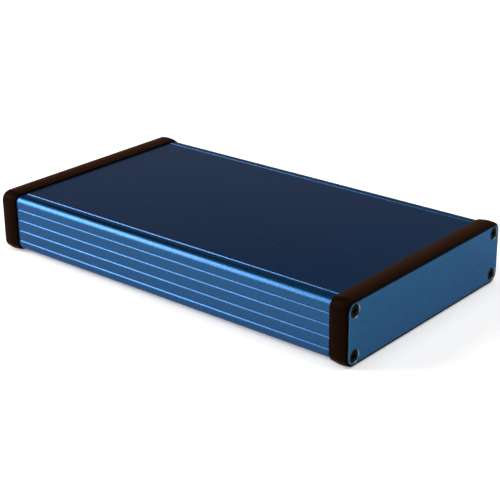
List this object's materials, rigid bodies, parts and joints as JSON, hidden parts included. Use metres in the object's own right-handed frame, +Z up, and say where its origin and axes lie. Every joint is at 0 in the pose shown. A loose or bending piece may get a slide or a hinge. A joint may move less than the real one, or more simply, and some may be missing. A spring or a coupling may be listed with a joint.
{
  "type": "extruded aluminium enclosure",
  "caption": "Low rectangular case for circuit boards: grooved aluminium extrusion, slide-in cover, crowned moulded bezels and flat end plates held by countersunk screws.",
  "frame": {"origin": "centre of the whole object in length and width, at the level of the undersides of the bezels, which it rests on", "axes": "+X along the extrusion, +Y across its width, +Z up through the slide-in cover"},
  "size_m": [0.225, 0.1268, 0.0324],
  "materials": {
    "anodised_aluminium": "blue anodised, fine satin grain",
    "anodised_plate": "blue anodised, plain satin sheet",
    "moulded_plastic": "moulded, low sheen, brown-black",
    "black_screw": "black oxide"
  },
  "bodies": {
    "root": {"extruded_body": "anodised_aluminium", "slide_cover": "anodised_aluminium", "left_bezel": "moulded_plastic", "right_bezel": "moulded_plastic", "left_end_plate": "anodised_plate", "right_end_plate": "anodised_plate", "left_screw_front_top": "black_screw", "left_screw_front_bottom": "black_screw", "left_screw_back_top": "black_screw", "left_screw_back_bottom": "black_screw", "right_screw_front_top": "black_screw", "right_screw_front_bottom": "black_screw", "right_screw_back_top": "black_screw", "right_screw_back_bottom": "black_screw"}
  },
  "joints": []
}
